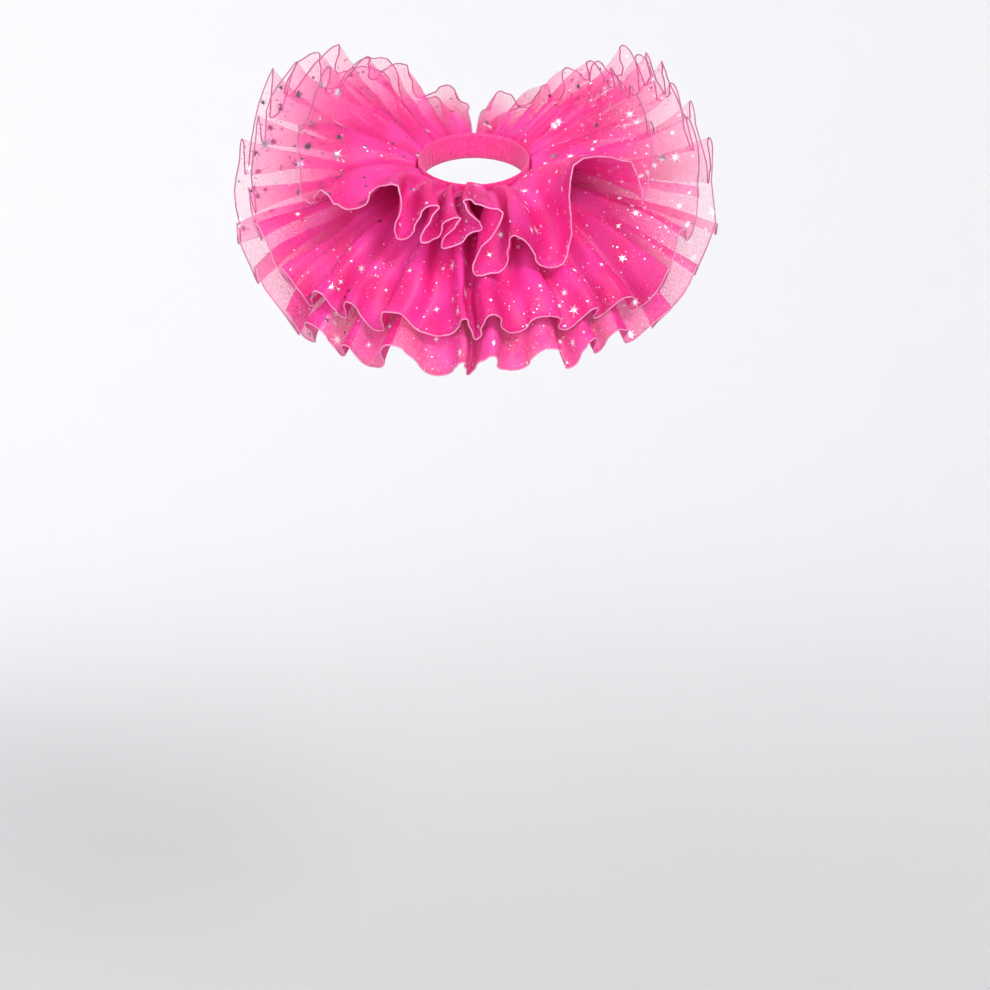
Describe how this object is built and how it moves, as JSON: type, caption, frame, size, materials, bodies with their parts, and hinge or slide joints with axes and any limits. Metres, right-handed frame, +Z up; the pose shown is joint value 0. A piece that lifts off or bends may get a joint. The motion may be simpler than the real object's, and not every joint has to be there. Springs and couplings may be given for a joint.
{
  "type": "ruff collar",
  "caption": "Costume ruff collar: sheer gathered ruffles of stepped widths sewn on an elastic neckband, fanned out round the neck as worn.",
  "frame": {"origin": "mount neck: centre of the neck opening, at the middle of the neckband's height", "axes": "+Z up, -Y towards the front of the wearer, +X to the right in a front view; the neckband leans 20 degrees forward"},
  "size_m": [0.5381, 0.4843, 0.3202],
  "materials": {
    "organza": "sheer hot pink organza with silver foil stars and dots, narrow rolled hems",
    "band_cloth": "hot pink organza folded double over elastic, finely gathered"
  },
  "bodies": {
    "root": {"neckband": "band_cloth", "top_ruffle": "organza", "middle_ruffle": "organza", "lower_ruffle": "organza"}
  },
  "joints": []
}
